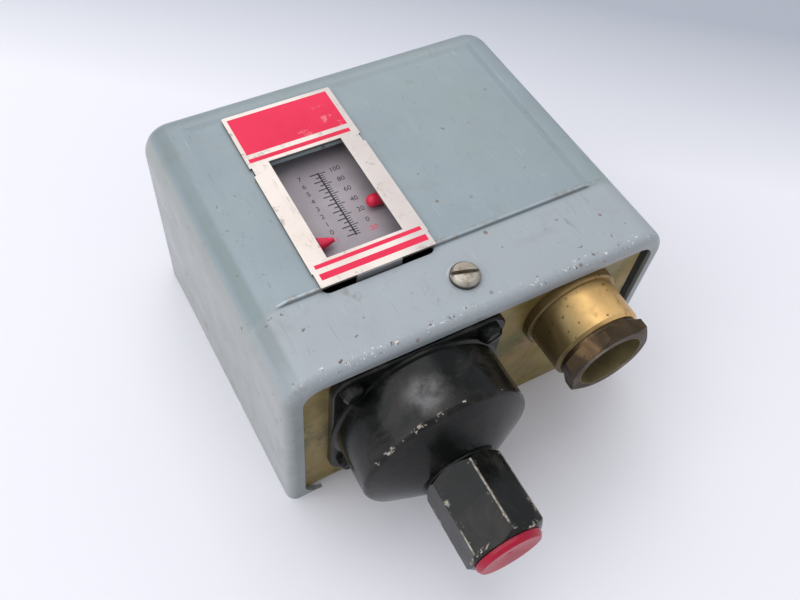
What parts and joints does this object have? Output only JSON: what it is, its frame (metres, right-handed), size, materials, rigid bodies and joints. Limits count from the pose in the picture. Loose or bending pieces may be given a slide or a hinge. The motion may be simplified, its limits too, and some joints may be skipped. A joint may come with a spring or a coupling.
{
  "type": "pressure switch",
  "caption": "Pressure switch in a sheet-steel case: bellows element with a hex connector, lever, range and differential springs, contacts, cable gland and a lift-off cover with a scale window.",
  "frame": {"origin": "centre of the back face, on the plane it lies or is mounted on", "axes": "+Z out of the face with the scale window, +Y towards the far end of the case, -Y towards the pressure connector and the cable gland, +X towards the cable gland's side"},
  "size_m": [0.0979, 0.1238, 0.0564],
  "materials": {
    "cover_paint": "satin enamel, worn",
    "plate_print": "printed, satin",
    "zinc_yellow": "yellow passivated",
    "zinc_clear": "zinc plated",
    "black_enamel": "gloss enamel, chipped",
    "brass_aged": "aged",
    "brass_clean": "plain",
    "spring_steel": "oiled",
    "nickel": "nickel plated",
    "scale_grey": "printed, matt",
    "red_plastic": "moulded",
    "phenolic": "moulded phenolic",
    "fibre": "vulcanised fibre",
    "rubber_black": "matt",
    "green_steel": "green dyed plating",
    "bronze": "phosphor bronze"
  },
  "bodies": {
    "case": {"case_base": "zinc_yellow", "mechanism_frame": "zinc_clear", "frame_screws": "zinc_clear", "scale_plate": "scale_grey", "scale_screws": "zinc_clear", "lever_pin": "spring_steel", "switch_insulator": "fibre", "switch_base": "phenolic", "switch_screws": "zinc_clear", "fixed_contact": "brass_clean", "contact_bracket": "brass_clean", "contact_pin": "spring_steel", "terminal_clamps": "brass_clean", "terminal_screws": "nickel", "ground_screw": "green_steel", "element_flange": "black_enamel", "flange_screws": "black_enamel", "pressure_cup": "black_enamel", "bellows": "bronze", "hex_connector": "black_enamel", "gland_body": "brass_aged", "gland_locknut": "brass_aged", "gland_seal": "rubber_black", "range_spring": "spring_steel", "differential_spring": "spring_steel"},
    "cover": {"cover": "cover_paint", "nameplate": "plate_print", "cover_screw_retainer": "fibre"},
    "cover_screw": {"cover_screw": "nickel"},
    "push_rod": {"push_rod": "brass_clean", "bellows_cap": "bronze"},
    "main_lever": {"main_lever": "zinc_yellow", "switch_push_pin": "fibre"},
    "contact_arm": {"contact_arm": "bronze"},
    "range_screw": {"range_screw": "zinc_clear", "range_screw_clip": "spring_steel"},
    "range_nut": {"range_nut": "brass_clean", "cut_out_pointer": "zinc_clear", "cut_out_pointer_tip": "red_plastic"},
    "differential_screw": {"differential_screw": "zinc_clear", "differential_screw_clip": "spring_steel"},
    "differential_nut": {"differential_nut": "brass_clean", "cut_in_pointer": "zinc_clear", "cut_in_pointer_tip": "red_plastic"},
    "gland_washer": {"gland_washer": "brass_clean"},
    "gland_nut": {"gland_nut": "brass_aged"},
    "thread_plug": {"thread_plug": "red_plastic"}
  },
  "joints": [
    {"name": "cover_lift", "type": "slide", "parent": "case", "child": "cover", "axis": [0, 0, 1], "range_m": [0, 0.06]},
    {"name": "cover_screw_turn", "type": "hinge", "parent": "cover", "child": "cover_screw", "pos_m": [-0.001, -0.03195, 0.055], "axis": [0, 0, 1], "continuous": true},
    {"name": "push_rod_slide", "type": "slide", "parent": "case", "child": "push_rod", "axis": [0, 1, 0], "range_m": [0, 0.00113], "stiffness_N_per_m": 2000, "deforming": ["bellows"]},
    {"name": "main_lever_swing", "type": "hinge", "parent": "case", "child": "main_lever", "pos_m": [-0.0295, -0.0235, 0.0293], "axis": [0, 0, 1], "range_deg": [0, 4.9]},
    {"name": "contact_arm_swing", "type": "hinge", "parent": "case", "child": "contact_arm", "pos_m": [0.0345, -0.0131, 0.0293], "axis": [0, 0, 1], "range_deg": [-10.5, 0]},
    {"name": "range_screw_turn", "type": "hinge", "parent": "case", "child": "range_screw", "pos_m": [-0.037, 0.031, 0.0293], "axis": [0, 1, 0], "range_deg": [0, 3250]},
    {"name": "range_nut_slide", "type": "slide", "parent": "case", "child": "range_nut", "axis": [0, 1, 0], "range_m": [0, 0.018], "deforming": ["range_spring"]},
    {"name": "differential_screw_turn", "type": "hinge", "parent": "case", "child": "differential_screw", "pos_m": [0.002, 0.031, 0.0293], "axis": [0, 1, 0], "range_deg": [-905, 2165]},
    {"name": "differential_nut_slide", "type": "slide", "parent": "case", "child": "differential_nut", "axis": [0, 1, 0], "range_m": [-0.005, 0.012], "deforming": ["differential_spring"]},
    {"name": "gland_washer_slide", "type": "slide", "parent": "case", "child": "gland_washer", "axis": [0, -1, 0], "range_m": [0, 0.0031]},
    {"name": "gland_nut_turn", "type": "hinge", "parent": "gland_washer", "child": "gland_nut", "pos_m": [0.0251, -0.05, 0.038], "axis": [0, -1, 0], "range_deg": [0, 720]},
    {"name": "thread_plug_pull", "type": "slide", "parent": "case", "child": "thread_plug", "axis": [0, -1, 0], "range_m": [0, 0.02]}
  ],
  "couplings": [
    {"joint": "main_lever_swing", "follows": "push_rod_slide", "rad_per_m": 74.074},
    {"joint": "contact_arm_swing", "follows": "push_rod_slide", "rad_per_m": -158.75},
    {"joint": "range_screw_turn", "follows": "range_nut_slide", "rad_per_m": 3141.6},
    {"joint": "differential_screw_turn", "follows": "differential_nut_slide", "rad_per_m": 3141.6},
    {"joint": "gland_washer_slide", "follows": "gland_nut_turn", "m_per_rad": 0.00023873}
  ]
}
